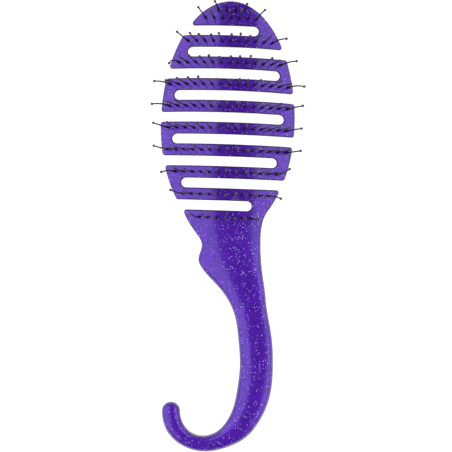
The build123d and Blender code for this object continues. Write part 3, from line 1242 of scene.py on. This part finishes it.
class BRUSH_OT_beads(bpy.types.Operator):
    """Build the dipped beads on the pins' ends"""

    bl_idname = "brush.beads"
    bl_label = "Build Beads"

    def execute(self, context):
        settings = context.scene.brush_pins
        tree = bead_tree()
        values = {"Bead Radius": settings.bead_radius, "Material": bead_resin()}
        for body in BODIES:
            feet = pin_feet(body, settings)
            place = place_name(body)
            piece = grown(f"bead_row_{place}", feet, tree, values)
            bpy.data.objects.remove(feet)
            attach(piece, body)
            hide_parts(f"beads_{place}")
        return {"FINISHED"}


def add_softbox(name, near, far, depth, radiance):
    """A softbox whose face runs from one edge to another, seen from the side, and faces the brush."""
    near, far = Vector(near), Vector(far)
    light = bpy.data.lights.new(name, "AREA")
    light.shape = "RECTANGLE"
    light.size = (far - near).length
    light.size_y = depth
    light.energy = radiance * math.pi * light.size * light.size_y
    lamp = bpy.data.objects.new(name, light)
    across = (far - near).normalized()
    facing = across.cross(Vector((0, 1, 0)))
    if facing.z < 0:
        facing = -facing
        across = -across
    lamp.matrix_world = Matrix((across, Vector((0, 1, 0)), facing)).transposed().to_4x4()
    lamp.location = (near + far) / 2
    bpy.context.scene.collection.objects.link(lamp)
    return lamp


class BRUSH_OT_stage(bpy.types.Operator):
    """Build the pale floor, the two softboxes and the camera"""

    bl_idname = "brush.stage"
    bl_label = "Build Stage"

    def execute(self, context):
        stage = context.scene.brush_stage
        mesh = bpy.data.meshes.new("floor")
        reach = 3.0
        low = -stage.floor_drop
        corners = [(-reach, -reach, low), (reach, -reach, low), (reach, reach, low), (-reach, reach, low)]
        mesh.from_pydata(corners, [], [(0, 1, 2, 3)])
        floor = bpy.data.objects.new("floor", mesh)
        context.scene.collection.objects.link(floor)
        material, tree, shader = new_material("floor_paint")
        shader.inputs["Base Color"].default_value = (*stage.floor, 1)
        shader.inputs["Roughness"].default_value = 0.9
        shader.inputs["Specular IOR Level"].default_value = 0.0
        shader.inputs["Emission Color"].default_value = (1, 1, 1, 1)
        shader.inputs["Emission Strength"].default_value = stage.floor_glow
        mesh.materials.append(material)
        add_softbox("softbox_left", (-0.22, 0, 1.0), (-1.6, 0, 0.25), 2.2, stage.radiance)
        add_softbox("softbox_right", (0.56, 0, 1.0), (1.75, 0, 0.25), 2.2, stage.radiance)
        world = bpy.data.worlds.new("studio")
        world.use_nodes = True
        world.node_tree.nodes["Background"].inputs["Color"].default_value = (0.5, 0.5, 0.52, 1)
        world.node_tree.nodes["Background"].inputs["Strength"].default_value = 0.25
        context.scene.world = world
        context.scene.view_settings.view_transform = "Standard"
        camera = bpy.data.cameras.new("camera")
        distance = stage.camera_height - 0.008
        camera.lens = camera.sensor_width * distance / stage.field
        camera.clip_start = 0.01
        camera.clip_end = 20
        view = bpy.data.objects.new("camera", camera)
        view.location = (stage.camera_x, stage.camera_y, stage.camera_height)
        view.rotation_euler = (0, 0, stage.camera_turn)
        context.scene.collection.objects.link(view)
        context.scene.camera = view
        return {"FINISHED"}


class BRUSH_PT_panel(bpy.types.Panel):
    """The brush's pieces, in the order they are built"""

    bl_label = "Brush"
    bl_idname = "BRUSH_PT_panel"
    bl_space_type = "VIEW_3D"
    bl_region_type = "UI"
    bl_category = "Brush"

    def draw(self, context):
        for operator in OPERATORS:
            self.layout.operator(operator.bl_idname)


OPERATORS = (
    BRUSH_OT_stage,
    BRUSH_OT_handle,
    BRUSH_OT_bars,
    BRUSH_OT_cap,
    BRUSH_OT_webs,
    BRUSH_OT_pins,
    BRUSH_OT_beads,
)
GROUPS = (
    (BrushColours, "brush_colours"),
    (BrushFrame, "brush_frame"),
    (BrushPins, "brush_pins"),
    (BrushStage, "brush_stage"),
)


def register():
    for group, name in GROUPS:
        bpy.utils.register_class(group)
        setattr(bpy.types.Scene, name, PointerProperty(type=group))
    for cls in (*OPERATORS, BRUSH_PT_panel):
        bpy.utils.register_class(cls)


def unregister():
    for cls in (BRUSH_PT_panel, *reversed(OPERATORS)):
        bpy.utils.unregister_class(cls)
    for group, name in reversed(GROUPS):
        delattr(bpy.types.Scene, name)
        bpy.utils.unregister_class(group)


def main():
    """Register the add-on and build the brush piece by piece."""
    register()
    bpy.ops.brush.stage()
    bpy.ops.brush.handle()
    bpy.ops.brush.bars()
    bpy.ops.brush.cap()
    bpy.ops.brush.webs()
    bpy.ops.brush.pins()
    bpy.ops.brush.beads()


if __name__ == "__main__":
    main()
